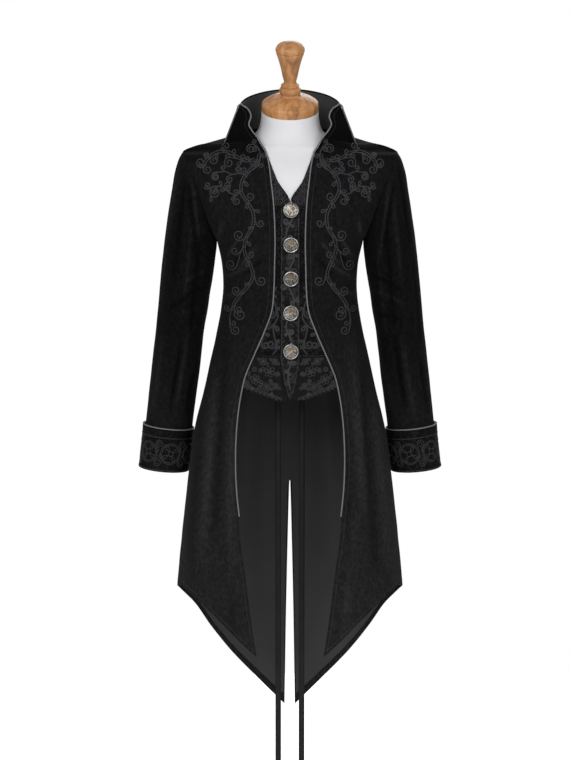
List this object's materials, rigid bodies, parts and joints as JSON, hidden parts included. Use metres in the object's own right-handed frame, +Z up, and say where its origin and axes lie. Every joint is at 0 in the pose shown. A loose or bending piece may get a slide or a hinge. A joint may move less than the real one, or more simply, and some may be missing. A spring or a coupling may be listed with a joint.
{
  "type": "tailcoat with waistcoat front on a dress form",
  "caption": "Black velvet tailcoat with high winged collar, sewn-in buttoned waistcoat front and pointed tails, worn by a limbless dress form on a stand.",
  "frame": {"origin": "centre of the underside of the stand's base, on the floor", "axes": "+Z up, the coat's front faces -Y, +X is the wearer's left side"},
  "size_m": [0.6204, 0.3588, 1.6958],
  "materials": {
    "velvet": "black cotton velvet with a soft short nap",
    "satin": "charcoal satin lining",
    "brocade": "black cloth with a raised self-black figure",
    "lace": "black lace on black cloth",
    "piping": "silver-grey twisted cord piping",
    "jersey": "white cotton jersey cover",
    "case": "polished",
    "clockwork": "brushed plates and wheels",
    "wood": "turned and varnished",
    "steel": "satin black paint"
  },
  "bodies": {
    "root": {"back_left": "velvet", "back_right": "velvet", "button_1": "case", "button_2": "case", "button_3": "case", "button_4": "case", "button_5": "case", "collar": "velvet", "collar_lining": "satin", "cuff_left": "brocade", "cuff_piping_left": "piping", "cuff_piping_right": "piping", "cuff_right": "brocade", "form_plate": "steel", "form_torso": "jersey", "front_left": "velvet", "front_right": "velvet", "movement_1": "clockwork", "movement_2": "clockwork", "movement_3": "clockwork", "movement_4": "clockwork", "movement_5": "clockwork", "neck_cap": "wood", "piping_left": "piping", "piping_right": "piping", "placket": "brocade", "sleeve_left": "velvet", "sleeve_right": "velvet", "stand_base": "steel", "stand_rod_left": "steel", "stand_rod_right": "steel", "tail_lining_left": "satin", "tail_lining_right": "satin", "waistcoat_hip_left": "lace", "waistcoat_hip_right": "lace", "waistcoat_left": "brocade", "waistcoat_right": "brocade", "waistcoat_yoke_left": "brocade", "waistcoat_yoke_right": "brocade"}
  },
  "joints": []
}
